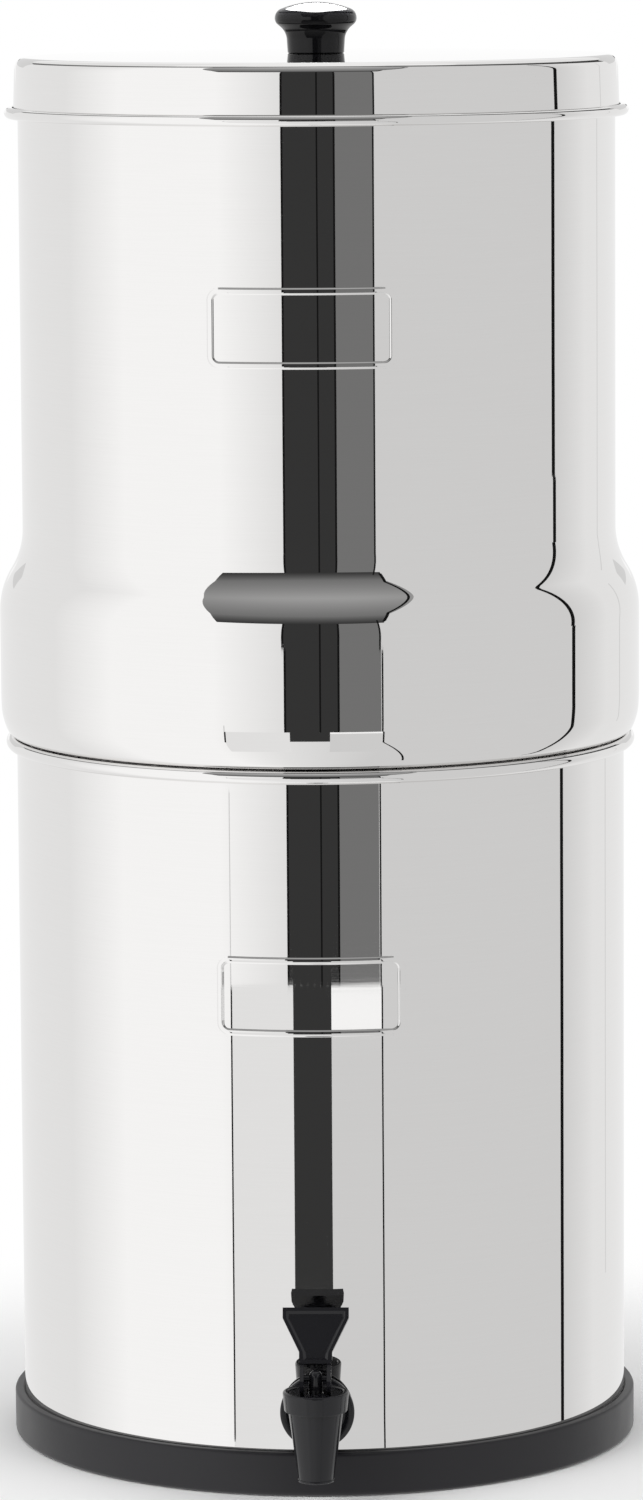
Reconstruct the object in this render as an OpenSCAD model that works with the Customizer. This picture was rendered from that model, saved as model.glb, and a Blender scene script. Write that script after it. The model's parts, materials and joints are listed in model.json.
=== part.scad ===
// Gravity water filter: two stacked stainless chambers, a lid with a knob, a rubber base ring,
// two carbon elements that drip from the upper chamber into the lower one, and a self-closing
// lever tap. Millimetres, +Z up. The tap faces -Y. The origin is on the chambers' axis, in the
// plane that the base ring stands on.

/* [Lower chamber] */
// Outside radius of the lower chamber's wall
lower_r = 120.5; // [110:0.5:135]
// Height of the lower chamber, from under its floor to the top of its rim
lower_h = 277.6; // [220:1:330]
// Thickness of the steel sheet of both chambers
sheet_t = 1; // [0.7:0.1:1.4]
// Outside radius round the edge of the lower chamber's floor
lower_corner_r = 6; // [4:0.5:10]
// Width of the rim's rolled bead
bead_w = 5.6; // [4.8:0.1:7]
// Height of the rim's rolled bead
bead_h = 8; // [7:0.1:10]

/* [Upper chamber] */
// How much less the upper chamber's wall measures than the lower one's, in radius
wall_step = 3.2; // [2.5:0.1:12]
// Height of the upper chamber, from its ledge to its rim
upper_h = 264; // [220:1:320]
// How far the bulge stands out past the lower chamber's wall
bulge_over = 6.1; // [5.6:0.1:12]
// Height of the straight part of the bulge and its lower corner together
bulge_h = 49.5; // [30:0.5:70]
// Outside radius of the bulge's lower corner
bulge_corner_r = 7; // [4:0.5:7]
// Radius of each of the two arcs of the shoulder
shoulder_r = 30.5; // [20:0.5:50]
// Depth of the neck that drops inside the lower chamber
neck_h = 12; // [8:0.5:20]
// Gap round the neck, inside the lower chamber's rim
neck_gap = 0.6; // [0.4:0.1:1]
// Outside radius round the edge of the upper chamber's floor
neck_corner_r = 5; // [3:0.5:7]
// Height of the folded hem inside the upper chamber's rim
hem_h = 6; // [4:0.5:10]

/* [Embossed frames] */
// Width of each frame, across the chamber
frame_w = 73.6; // [50:0.2:90]
// Height of each frame
frame_h = 31.5; // [20:0.5:50]
// Width of the raised line
frame_line_w = 2.6; // [1.5:0.1:4]
// How far the line stands out of the wall
frame_rise = 0.7; // [0.3:0.1:1.5]
// Outside radius of the frame's corners
frame_corner_r = 5; // [3:0.5:9]
// Height of the lower frame's centre above the table
lower_frame_z = 197; // [100:1:240]
// Height of the upper frame's centre above the table
upper_frame_z = 452; // [400:1:500]
// How far the upper frame sits round from the tap, in degrees
upper_frame_turn = 1.75; // [0:0.05:10]
// How far the lower frame sits round from the tap, in degrees
lower_frame_turn = 0.55; // [0:0.05:10]

/* [Lid] */
// Thickness of the lid's sheet
lid_t = 0.8; // [0.6:0.1:1.2]
// Outside radius of the corner between the lid's top and its skirt
lid_corner_r = 5; // [3:0.5:8]
// Height of the lid, from the centre of its rolled edge to its top
lid_h = 22.3; // [18:0.5:30]
// Running gap between the lid's skirt and the chamber at the top
lid_gap = 0.3; // [0.3:0.1:1]
// How much the skirt flares out towards its rolled edge
lid_flare = 0.6; // [0:0.1:1.5]
// Radius of the roll at the lid's edge
lid_roll_r = 2.2; // [1.8:0.1:3]

/* [Knob] */
// Height of the knob
knob_h = 20; // [16:0.5:30]
// Largest radius of the knob's head
knob_r = 16.1; // [13:0.1:22]
// Radius of the knob's foot
knob_foot_r = 11; // [8:0.1:14]
// Radius of the lid screw's shank
lid_screw_r = 2.4; // [2:0.1:3]

/* [Base ring] */
// Height of the rubber base ring
ring_h = 17; // [12:0.2:26]
// Thickness of the rubber outside the chamber's wall
ring_wall = 3.9; // [2.5:0.1:6]
// Thickness of the rubber under the chamber's floor
ring_pad_t = 4; // [2:0.5:8]
// Width of the rubber under the floor, measured from the ring's outside
ring_pad_w = 18; // [12:0.5:30]

/* [Filter elements] */
// Radius of each carbon element
element_r = 35; // [25:0.5:38]
// Height of the carbon in each element
element_h = 215; // [150:1:225]
// Distance of each hole in the upper chamber's floor from the axis
hole_pitch_r = 55; // [48:0.5:62]
// Radius of the holes in the upper chamber's floor
floor_hole_r = 5.4; // [5:0.1:7]
// Radius of the threaded stems through those holes
stem_r = 4.75; // [4:0.05:4.8]
// Thickness of the silicone washers on the chamber's floor
floor_washer_t = 2.5; // [1.5:0.1:4]

/* [Tap] */
// Gap between the base ring's top and the tap's flange
tap_gap = 1.9; // [0.2:0.1:20]
// Distance of the spout's axis from the chamber's wall
tap_reach = 25; // [23:0.5:34]
// Radius of the tap's hole in the chamber's wall
tap_hole_r = 8.2; // [8.1:0.1:9]
// Radius of the tap's threaded shank
shank_r = 7.9; // [7:0.1:8]
// Radius of the round flange against the wall
flange_r = 14.3; // [12:0.1:18]
// Distance from the shank's axis down to the spout's outlet
spout_drop = 21.4; // [18:0.1:24]
// Outside radius of the spout at its outlet
outlet_r = 6.9; // [6.5:0.1:8]
// Radius of the water way through the spout
water_r = 5; // [3.5:0.1:5.2]
// Outside radius of the bonnet at its top
bonnet_r = 12.6; // [12.3:0.1:15]
// Height of the bonnet
bonnet_h = 7.6; // [7:0.1:10]

/* [Tap lever] */
// Height of the lever's pin above the bonnet's floor
pin_h = 5.5; // [5:0.1:7]
// Radius of the lever's pin
pin_r = 1.2; // [1:0.1:1.5]
// Radius of the valve stem
valve_stem_r = 2.6; // [2:0.1:2.8]
// Rise of the stem per radian that the lever turns
lift_per_radian = 2.8; // [2:0.1:3.5]
// Angle that the lever turns forward to open, in degrees
lever_turn = 60; // [40:1:65]
// Lean of the closed lever towards the chamber, in degrees
lever_lean = 22; // [0:1:24]
// Length of the lever, from its pin to its top edge
lever_len = 27; // [22:0.5:34]
// Width of the lever's top
paddle_w = 25.2; // [18:0.2:32]
// Width of the lever's root, over the fork
root_w = 12.6; // [12:0.2:17]
// Width over the lever's two cheeks
fork_w = 11.8; // [10.5:0.1:14]
// Thickness of each cheek
cheek_t = 1.5; // [1.2:0.1:2]

/* [Hidden] */

$fn = 96;
wall_fn = 720;      // faces of a curve that a thin washer follows
arc_steps = 8;      // straight pieces in each rounded corner of an outline
fit = 0.05;         // clearance of a thread or a push fit
seat_gap = 0.3;     // clearance between a lifted part and its seat
curl_end = 115;     // where a rolled edge stops, short of the wall it curls back to

// Colours
steel = "silver";
rubber_black = "#26262a";
plastic_black = "#17171a";
carbon_black = "#2b2b2d";
silicone_white = "#e4e4de";
brass_yellow = "#b59a4c";

// Radii and heights of the chambers
upper_r = lower_r - wall_step;
bulge_r = lower_r + bulge_over;
rim_z = ring_pad_t + lower_h;
bead_r = bead_w / 2;
bead_c = lower_r - sheet_t + bead_r;
neck_r = lower_r - sheet_t - neck_gap;
ledge_fillet_r = 0.6;
corner_c = bulge_r - bulge_corner_r;
// How far the bulge's rounded corner has risen where it passes over the middle of the bead
corner_rise = bulge_corner_r - sqrt(pow(bulge_corner_r, 2) - pow(max(0, bead_c - corner_c), 2));
ledge_z = rim_z + seat_gap - corner_rise;
upper_floor_z = ledge_z - neck_h + sheet_t;
upper_rim_z = ledge_z + upper_h;
shoulder_z = ledge_z + bulge_h;
shoulder_turn = acos(1 - (bulge_r - upper_r) / 2 / shoulder_r);
shoulder_h = 2 * shoulder_r * sin(shoulder_turn);

// The lid: its corner passes over the chamber's rim with the seat gap
lid_r = upper_r + lid_gap + lid_t;
lid_inner_corner_r = lid_corner_r - lid_t;
lid_corner_c = lid_r - lid_corner_r;
rim_under_corner = sqrt(pow(lid_inner_corner_r, 2) - pow(upper_r - lid_corner_c, 2));
lid_top_z = upper_rim_z + seat_gap + lid_corner_r - rim_under_corner;
lid_roll_z = lid_top_z - lid_h;
lid_foot_r = lid_r + lid_flare;
lid_roll_c = lid_foot_r - lid_t + lid_roll_r;

// Knob fittings
insert_r = 4.2;
insert_h = 10;
screw_head_r = 4.75;
screw_head_h = 3;
screw_washer_r = 8;
screw_washer_t = 1.2;

// Base ring
ring_r = lower_r + ring_wall;

// Filter elements and plugs
element_bore_r = 10;
element_edge_r = 6;
cap_r = element_r - 2;
cap_h = 9;
stem_drop = 26;
drip_r = 2.4;
floor_washer_r = 14;
nut_hub_r = 9.5;
nut_hub_h = 9;
nut_flange_r = 12.5;
nut_flange_h = 2;
wing_span = 40;
wing_t = 3.6;
wing_h = 13;
plug_head_r = 13;
plug_head_h = 5;
plug_drop = 16;
plug_nut_flats = 19;
plug_nut_h = 6;

// Tap: washers follow the wall, the flange and the nut are flat
tap_z = ring_h + tap_gap + flange_r;
tap_y = -(lower_r + tap_reach);
wall_in_r = lower_r - sheet_t;
washer_r = 13.4;
washer_t = 1.8;
flange_t = 2.6;
flange_edge_r = 0.8;
flange_rim_w = 2.6;
flange_dish = 0.6;
flange_y = -(lower_r + washer_t);
wall_sag = 0.8;         // how far the wall curves away under the washer's edge
inner_washer_y = -(wall_in_r - washer_t - wall_sag);
shank_nut_flats = 24;
shank_nut_h = 7;
shank_spare = 3;
shank_end_y = inner_washer_y + shank_nut_h + shank_spare;
shank_neck_r = 5.6;
outlet_z = tap_z - spout_drop;
bonnet_gap = 0.3;
bonnet_z = tap_z + shank_neck_r + bonnet_gap;
bonnet_top_z = bonnet_z + bonnet_h;
bonnet_rim_h = 0.7;
bonnet_rim_w = 1.5;
bonnet_edge_r = 0.8;
bonnet_floor_z = bonnet_top_z - bonnet_rim_h;
bonnet_plate_t = 2.4;
bonnet_taper = 0.6;
bonnet_wall = 1.7;
body_thread_r = bonnet_r - bonnet_wall;
body_step = 0.4;
cup_flange_t = 1.4;
body_top_z = bonnet_floor_z - bonnet_plate_t - cup_flange_t;
valve_wall = 2.3;
valve_r = body_thread_r - valve_wall;
seat_depth = 10.5;
seat_z = outlet_z + seat_depth;
seat_h = valve_r - water_r;
lip_h = 0.9;
lip_out = 0.3;
lip_slope = 0.4;
inlet_wall = 1.1;
inlet_r = shank_neck_r - inlet_wall;

// Seat cup and valve stem
cup_r = valve_r - 1.2;
cup_wall = 1.3;
cup_nose_z = seat_z - 0.5;
cup_seat_z = seat_z + cup_r - water_r;
stem_head_r = 4;
stem_head_h = 1.8;
stem_head_z = cup_seat_z + 3;
pin_z = bonnet_floor_z + pin_h;
stem_top_z = pin_z + 3.2;
stem_fit = 0.07;

// Lever
foot_gap = 0.1;
hub_r = 4.4;
plate_t = 3;
plate_recess = 0.9;
plate_border = 2.4;
plate_foot = 5.4;
root_foot = 1.2;
root_h = 3.4;
paddle_straight = 4;
rail_h = 4.6;
rib_w = 8;
rib_t = 1.5;

// Points on an arc about c from angle a0 to a1
function arc(c, r, a0, a1, n = arc_steps) =
    [for (i = [0:n]) let (a = a0 + (a1 - a0) * i / n) [c[0] + r * cos(a), c[1] + r * sin(a)]];

function reversed(points) = [for (i = [len(points) - 1:-1:0]) points[i]];

// A sheet seen in section: the outline at depth 0, and back along the outline at depth t
function sheet(outside, inside) = concat(outside, reversed(inside));

// Section lines of the two chambers and the lid, at depth d under the outside. The lower chamber's
// sheet ends in a tall bead that curls outwards and down, the lid's in a round one that curls up.
function lower_line(d) = concat(
    [[0, ring_pad_t + d]],
    arc([lower_r - lower_corner_r, ring_pad_t + lower_corner_r], lower_corner_r - d, -90, 0),
    arc([bead_c, rim_z - bead_r], bead_r - sheet_t + d, 180, 0),
    arc([bead_c, rim_z - bead_h + bead_r], bead_r - sheet_t + d, 0, -curl_end));

function upper_line(d) = concat(
    [[0, ledge_z - neck_h + d]],
    arc([neck_r - neck_corner_r, ledge_z - neck_h + neck_corner_r], neck_corner_r - d, -90, 0),
    arc([neck_r + ledge_fillet_r, ledge_z - ledge_fillet_r], ledge_fillet_r + d, 180, 90, 3),
    arc([corner_c, ledge_z + bulge_corner_r], bulge_corner_r - d, -90, 0),
    arc([bulge_r - shoulder_r, shoulder_z], shoulder_r - d, 0, shoulder_turn),
    arc([upper_r + shoulder_r, shoulder_z + shoulder_h], shoulder_r + d, 180 + shoulder_turn, 180),
    [[upper_r - d, upper_rim_z]]);

function lid_line(d) = concat(
    [[0, lid_top_z - d]],
    arc([lid_corner_c, lid_top_z - lid_corner_r], lid_corner_r - d, 90, 0),
    arc([lid_roll_c, lid_roll_z], lid_roll_r - lid_t + d, 180, 360 + curl_end, 2 * arc_steps));

// Raised line round a rounded rectangle, wrapped on a wall of radius r and turned round the axis
module embossed_frame(r, z, turn) {
    rotate(-turn)
        intersection() {
            translate([0, 0, z])
                rotate([90, 0, 0])
                    linear_extrude(2 * r)
                        difference() {
                            rounded_square(frame_w, frame_h, frame_corner_r);
                            rounded_square(frame_w - 2 * frame_line_w, frame_h - 2 * frame_line_w,
                                frame_corner_r - frame_line_w);
                        }
            rotate_extrude()
                translate([r - sheet_t / 2, z - frame_h])
                    square([sheet_t / 2 + frame_rise, 2 * frame_h]);
        }
}

module rounded_square(w, h, r) {
    square([w - 2 * r, h], center = true);
    square([w, h - 2 * r], center = true);
    for (x = [-1, 1])
        for (y = [-1, 1])
            translate([x * (w / 2 - r), y * (h / 2 - r)])
                circle(r);
}

module ring(r_out, r_in, z0, z1) {
    translate([0, 0, z0])
        difference() {
            cylinder(r = r_out, h = z1 - z0);
            translate([0, 0, -1])
                cylinder(r = r_in, h = z1 - z0 + 2);
        }
}

module hexagon(flats, h) {
    cylinder(r = flats / 2 / cos(30), h = h, $fn = 6);
}

// Puts a piece at the tap's hole, with its Z axis along the shank and out of the wall
module on_shank(y) {
    translate([0, y, tap_z])
        rotate([90, 0, 0])
            children();
}

module base_ring() {
    color(rubber_black)
        rotate_extrude()
            polygon(concat(
                [[ring_r - ring_pad_w, 0]],
                arc([ring_r - 1, 1], 1, -90, 0, 3),
                arc([ring_r - 0.8, ring_h - 0.8], 0.8, 0, 90, 3),
                [[lower_r + 0.8, ring_h], [lower_r + fit, ring_h - 0.6]],
                arc([lower_r - lower_corner_r, ring_pad_t + lower_corner_r],
                    lower_corner_r + fit, 0, -80, arc_steps),
                [[lower_r - lower_corner_r, ring_pad_t], [ring_r - ring_pad_w, ring_pad_t]]));
}

module lower_chamber() {
    color(steel) {
        difference() {
            rotate_extrude()
                polygon(sheet(lower_line(0), lower_line(sheet_t)));
            on_shank(0)
                cylinder(r = tap_hole_r, h = 2 * lower_r);
        }
        embossed_frame(lower_r, lower_frame_z, lower_frame_turn);
    }
}

module upper_chamber() {
    color(steel) {
        difference() {
            rotate_extrude()
                polygon(sheet(upper_line(0), upper_line(sheet_t)));
            for (a = [0:90:270])
                rotate(a)
                    translate([hole_pitch_r, 0, ledge_z - neck_h - 1])
                        cylinder(r = floor_hole_r, h = sheet_t + 2);
        }
        ring(upper_r - sheet_t / 2, upper_r - 2 * sheet_t, upper_rim_z - hem_h, upper_rim_z);
        embossed_frame(upper_r, upper_frame_z, upper_frame_turn);
    }
}

module lid() {
    color(steel)
        difference() {
            rotate_extrude()
                polygon(sheet(lid_line(0), lid_line(lid_t)));
            translate([0, 0, lid_top_z - lid_t - 1])
                cylinder(r = lid_screw_r + 0.2, h = lid_t + 2);
        }
}

// Mushroom knob: a foot, a flank that leans out, a rounded edge and a domed top
module lid_knob() {
    dome_r = 2 * knob_r;
    edge_r = 2.8;
    edge_c = knob_r - edge_r;
    edge_z = knob_h - dome_r + sqrt(pow(dome_r - edge_r, 2) - pow(edge_c, 2));
    edge_turn = asin(edge_c / (dome_r - edge_r));
    under_r = 6;
    flank_turn = 42;
    waist_r = 4;
    waist_z = 5;
    color(plastic_black)
        translate([0, 0, lid_top_z])
            difference() {
                rotate_extrude()
                    polygon(concat(
                        [[0, 0], [knob_foot_r - 0.4, 0], [knob_foot_r, 0.4]],
                        arc([knob_foot_r + 0.3 + waist_r, waist_z], waist_r,
                            180, 180 - flank_turn, 5),
                        arc([knob_r - under_r, edge_z], under_r, -flank_turn, 0, 6),
                        arc([edge_c, edge_z], edge_r, 0, 90 - edge_turn),
                        arc([0, knob_h - dome_r], dome_r, 90 - edge_turn, 90)));
                translate([0, 0, -1])
                    cylinder(r = insert_r + fit, h = insert_h + 1.4);
            }
}

module knob_insert() {
    color(brass_yellow)
        ring(insert_r, lid_screw_r + fit, lid_top_z, lid_top_z + insert_h);
}

module lid_screw() {
    head_z = lid_top_z - lid_t - screw_washer_t;
    color(steel)
        difference() {
            union() {
                translate([0, 0, head_z])
                    cylinder(r = lid_screw_r, h = lid_top_z + insert_h - 1 - head_z);
                translate([0, 0, head_z - screw_head_h])
                    rotate_extrude()
                        polygon(concat(
                            [[0, 0]],
                            arc([screw_head_r - 1.6, 1.6], 1.6, -90, 0, 4),
                            [[screw_head_r, screw_head_h], [0, screw_head_h]]));
            }
            for (a = [0, 90])
                rotate(a)
                    translate([-3, -0.5, head_z - screw_head_h - 1])
                        cube([6, 1, 2.5]);
        }
}

module lid_screw_washer() {
    under_lid = lid_top_z - lid_t;
    color(steel)
        ring(screw_washer_r, lid_screw_r + fit, under_lid - screw_washer_t, under_lid);
}

// Stands the pieces of one floor hole at angle a round the axis
module at_hole(a) {
    rotate(a)
        translate([hole_pitch_r, 0, upper_floor_z])
            children();
}

module element() {
    foot_z = floor_washer_t + cap_h;
    color(carbon_black)
        translate([0, 0, foot_z])
            rotate_extrude()
                polygon(concat(
                    [[element_bore_r, 0], [element_r - 1, 0], [element_r, 1]],
                    arc([element_r - element_edge_r, element_h - element_edge_r],
                        element_edge_r, 0, 90),
                    [[0, element_h], [0, element_h - element_bore_r],
                        [element_bore_r, element_h - element_bore_r]]));
}

// Plastic foot of an element, with the threaded stem that carries the filtered water down
module element_cap() {
    color(plastic_black)
        difference() {
            union() {
                translate([0, 0, floor_washer_t])
                    rotate_extrude()
                        polygon([[0, 0], [floor_washer_r + 3, 0], [cap_r, 4], [cap_r, cap_h],
                            [0, cap_h]]);
                translate([0, 0, -stem_drop])
                    cylinder(r = stem_r, h = stem_drop + floor_washer_t + 1);
            }
            translate([0, 0, -stem_drop - 1])
                cylinder(r = drip_r, h = stem_drop + floor_washer_t + cap_h + 2);
        }
}

module floor_washer(r) {
    color(silicone_white)
        ring(r, stem_r + fit, 0, floor_washer_t);
}

module wing_nut() {
    top_z = -sheet_t;
    color(plastic_black)
        difference() {
            union() {
                translate([0, 0, top_z - nut_flange_h])
                    cylinder(r = nut_flange_r, h = nut_flange_h);
                translate([0, 0, top_z - nut_flange_h - nut_hub_h])
                    cylinder(r1 = nut_hub_r - 1.5, r2 = nut_hub_r, h = nut_hub_h);
                translate([0, wing_t / 2, top_z - nut_flange_h])
                    rotate([90, 0, 0])
                        linear_extrude(wing_t)
                            for (s = [0, 1])
                                mirror([s, 0])
                                    wing();
            }
            translate([0, 0, top_z - 20])
                cylinder(r = stem_r + fit, h = 21);
        }
}

// Outline of one wing, with its root in the hub and a rounded tip that hangs a little low
module wing() {
    polygon(concat(
        [[nut_hub_r - 3, 0], [nut_flange_r - 1, 0]],
        arc([wing_span / 2 - 4, -wing_h + 4 + 2], 4, 60, -90, 6),
        [[nut_hub_r - 3, -nut_hub_h]]));
}

module hole_plug() {
    color(plastic_black)
        union() {
            translate([0, 0, floor_washer_t])
                rotate_extrude()
                    polygon(concat(
                        [[0, 0], [plug_head_r, 0]],
                        arc([plug_head_r - 2, plug_head_h - 2], 2, 0, 90, 4),
                        [[0, plug_head_h]]));
            translate([0, 0, -plug_drop])
                cylinder(r = stem_r, h = plug_drop + floor_washer_t + 1);
        }
}

module plug_nut() {
    color(plastic_black)
        translate([0, 0, -sheet_t - plug_nut_h])
            difference() {
                hexagon(plug_nut_flats, plug_nut_h);
                translate([0, 0, -1])
                    cylinder(r = stem_r + fit, h = plug_nut_h + 2);
            }
}

// Spout, valve chamber, flange and threaded shank in one moulding
module tap_body() {
    color(plastic_black)
        difference() {
            union() {
                translate([0, tap_y, 0])
                    rotate_extrude()
                        polygon([[0, outlet_z], [outlet_r + lip_out, outlet_z],
                            [outlet_r + lip_out, outlet_z + lip_h],
                            [outlet_r, outlet_z + lip_h + lip_slope],
                            [body_thread_r - body_step, bonnet_z - bonnet_gap],
                            [body_thread_r, bonnet_z - bonnet_gap],
                            [body_thread_r, body_top_z], [0, body_top_z]]);
                on_shank(flange_y)
                    cylinder(r = shank_neck_r, h = tap_reach - washer_t);
                on_shank(flange_y)
                    rotate_extrude()
                        polygon(concat(
                            [[0, 0], [flange_r, 0]],
                            arc([flange_r - flange_edge_r, flange_t - flange_edge_r],
                                flange_edge_r, 0, 90, 4),
                            [[flange_r - flange_rim_w, flange_t],
                                [flange_r - flange_rim_w - flange_dish, flange_t - flange_dish],
                                [0, flange_t - flange_dish]]));
                on_shank(shank_end_y)
                    cylinder(r = shank_r, h = shank_end_y - flange_y + flange_t / 4);
            }
            translate([0, tap_y, 0])
                rotate_extrude()
                    polygon([[0, outlet_z - 1], [water_r, outlet_z - 1], [water_r, seat_z],
                        [valve_r, seat_z + seat_h], [valve_r, body_top_z + 1],
                        [0, body_top_z + 1]]);
            on_shank(shank_end_y + 1)
                cylinder(r = inlet_r, h = shank_end_y + 1 - tap_y);
        }
}

module tap_outer_washer() {
    color(rubber_black)
        difference() {
            on_shank(flange_y + 2 * washer_t)
                ring(washer_r, shank_r + fit, 0, 2 * washer_t);
            cylinder(r = lower_r + fit, h = 2 * tap_z, $fn = wall_fn);
        }
}

module tap_inner_washer() {
    color(silicone_white)
        intersection() {
            on_shank(inner_washer_y)
                ring(washer_r, shank_r + fit, 0, 2 * washer_t);
            cylinder(r = wall_in_r - fit, h = 2 * tap_z, $fn = wall_fn);
        }
}

module tap_shank_nut() {
    color(plastic_black)
        on_shank(inner_washer_y + shank_nut_h)
            difference() {
                hexagon(shank_nut_flats, shank_nut_h);
                translate([0, 0, -1])
                    cylinder(r = shank_r + fit, h = shank_nut_h + 2);
            }
}

// Screw cap of the valve chamber: a tapered skirt and a dished top that the lever's foot rides on
module tap_bonnet() {
    color(plastic_black)
        translate([0, tap_y, 0])
            rotate_extrude()
                polygon(concat(
                    [[body_thread_r + fit, bonnet_z], [bonnet_r - bonnet_taper, bonnet_z]],
                    arc([bonnet_r - bonnet_edge_r, bonnet_top_z - bonnet_edge_r],
                        bonnet_edge_r, 0, 90, 4),
                    [[bonnet_r - bonnet_rim_w, bonnet_top_z],
                        [bonnet_r - bonnet_rim_w - bonnet_rim_h, bonnet_floor_z],
                        [valve_stem_r + stem_fit, bonnet_floor_z],
                        [valve_stem_r + stem_fit, bonnet_floor_z - bonnet_plate_t],
                        [body_thread_r + fit, bonnet_floor_z - bonnet_plate_t]]));
}

// Silicone bell: its flange is clamped under the bonnet and its nose closes the seat
module seat_cup() {
    top_z = bonnet_floor_z - bonnet_plate_t;
    head_fit = 0.1;
    color(silicone_white)
        translate([0, tap_y, 0])
            rotate_extrude()
                polygon([
                    [0, cup_nose_z], [water_r - 1.6, cup_nose_z], [water_r - 0.3, seat_z],
                    [cup_r - 0.3, cup_seat_z], [cup_r, cup_seat_z + 1.5],
                    [cup_r, body_top_z - 1], [cup_r + 0.8, body_top_z],
                    [body_thread_r - 0.5, body_top_z], [body_thread_r - 0.5, top_z],
                    [cup_r - 0.4, top_z], [cup_r - cup_wall, body_top_z - 1],
                    [cup_r - cup_wall, stem_head_z + stem_head_h + 2.2],
                    [valve_stem_r + head_fit, stem_head_z + stem_head_h + 2.2],
                    [valve_stem_r + head_fit, stem_head_z + stem_head_h + head_fit],
                    [stem_head_r + head_fit, stem_head_z + stem_head_h + head_fit],
                    [stem_head_r + head_fit, stem_head_z - head_fit],
                    [0, stem_head_z - head_fit]]);
}

module valve_stem() {
    color(plastic_black)
        difference() {
            translate([0, tap_y, 0])
                rotate_extrude()
                    polygon(concat(
                        [[0, stem_head_z], [stem_head_r, stem_head_z],
                            [stem_head_r, stem_head_z + stem_head_h],
                            [valve_stem_r, stem_head_z + stem_head_h]],
                        arc([0, stem_top_z - valve_stem_r], valve_stem_r, 0, 90, 10)));
            translate([0, tap_y, pin_z])
                rotate([0, 90, 0])
                    cylinder(r = pin_r + 0.02, h = fork_w, center = true);
        }
}

module lever_pin() {
    color(plastic_black)
        translate([0, tap_y, pin_z])
            rotate([0, 90, 0])
                cylinder(r = pin_r, h = fork_w - 0.4, center = true);
}

// Foot of a cheek, beside the pin: flat under the pin, then an involute that lifts the pin by the
// same amount for each degree. The first number is towards the back, the second is up.
function foot_point(a) =
    let (h = pin_h - foot_gap + lift_per_radian * a * PI / 180)
    [-h * sin(a) - lift_per_radian * cos(a), lift_per_radian * sin(a) - h * cos(a)];

// A point of the leaning plate: along it from the pin, and out of its mid plane to the front
function on_plate(along, front) =
    [along * sin(lever_lean) - front * cos(lever_lean),
        along * cos(lever_lean) + front * sin(lever_lean)];

module cheek_outline() {
    polygon(concat(
        [for (i = [0:15]) foot_point(i * (lever_turn + 3) / 15)],
        [foot_point(lever_turn + 3) + [0.6, 2], on_plate(plate_foot - 0.2, plate_t / 2 - 0.3),
            on_plate(plate_foot + 1, plate_t / 2 - 0.3),
            on_plate(plate_foot + 1, 0.3 - plate_t / 2),
            on_plate(plate_foot - 1, 0.3 - plate_t / 2)],
        arc([0, 0], hub_r, 20, -25, 4),
        [[lift_per_radian, foot_gap - pin_h]]));
}

// Outline of the paddle, narrower by the inset all round: a foot as wide as the fork, a wider
// root, sides that lean out and short straight sides at the top
module paddle_outline(inset) {
    half_top = paddle_w / 2 - inset;
    half_root = root_w / 2 - inset;
    half_foot = fork_w / 2 - inset;
    root = plate_foot + root_foot;
    side = concat(
        [[half_foot, plate_foot + inset]],
        inset > root_foot ? [] : [[half_foot, root], [half_root, root]],
        [[half_root, root + root_h], [half_top, lever_len - paddle_straight],
            [half_top, lever_len - inset]]);
    polygon(concat(side, [for (p = reversed(side)) [-p[0], p[1]]]));
}

module tap_lever() {
    color(plastic_black)
        translate([0, tap_y, pin_z])
            difference() {
                union() {
                    for (s = [0, 1])
                        mirror([s, 0, 0])
                            translate([fork_w / 2 - cheek_t, 0, 0])
                                rotate([90, 0, 90])
                                    linear_extrude(cheek_t)
                                        cheek_outline();
                    rotate([-lever_lean, 0, 0])
                        plate();
                }
                rotate([0, 90, 0])
                    cylinder(r = pin_r + fit, h = fork_w + 2, center = true);
            }
}

// The paddle, with a sunk face in front and a rail and a rib behind, standing up from the pin
module plate() {
    rotate([90, 0, 0]) {
        difference() {
            translate([0, 0, -plate_t / 2])
                linear_extrude(plate_t)
                    paddle_outline(0);
            translate([0, 0, plate_t / 2 - plate_recess])
                linear_extrude(plate_recess + 1)
                    paddle_outline(plate_border);
        }
        translate([-(paddle_w - 1.6) / 2, lever_len - rail_h, -plate_t / 2 - rib_t])
            cube([paddle_w - 1.6, rail_h, rib_t + 0.5]);
        translate([-rib_w / 2, plate_foot + 1, -plate_t / 2 - rib_t])
            cube([rib_w, lever_len - plate_foot - 2, rib_t + 0.5]);
    }
}

base_ring();
lower_chamber();
upper_chamber();
lid();
lid_knob();
knob_insert();
lid_screw();
lid_screw_washer();
at_hole(180) element();  // element_left
at_hole(0) element();  // element_right
at_hole(180) element_cap();  // element_cap_left
at_hole(0) element_cap();  // element_cap_right
at_hole(180) floor_washer(floor_washer_r);  // element_washer_left
at_hole(0) floor_washer(floor_washer_r);  // element_washer_right
at_hole(180) wing_nut();  // wing_nut_left
at_hole(0) wing_nut();  // wing_nut_right
at_hole(270) hole_plug();  // hole_plug_front
at_hole(90) hole_plug();  // hole_plug_back
at_hole(270) floor_washer(plug_head_r - 1);  // plug_washer_front
at_hole(90) floor_washer(plug_head_r - 1);  // plug_washer_back
at_hole(270) plug_nut();  // plug_nut_front
at_hole(90) plug_nut();  // plug_nut_back
tap_body();
tap_outer_washer();
tap_inner_washer();
tap_shank_nut();
tap_bonnet();
seat_cup();
valve_stem();
lever_pin();
tap_lever();
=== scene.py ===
# %% [markdown]
# # Gravity water filter with a lever tap
#
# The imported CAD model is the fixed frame: every visible piece below takes the place of a CAD node
# or is a CAD node with a better finish. Lengths are written in millimetres and turned to metres
# where a mesh is made. The tap faces -Y and the origin lies on the chambers' axis at the table.

# %% Load the fixed frame
import json
import math

import bmesh
import bpy
import numpy as np
from mathutils import Matrix, Vector

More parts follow.
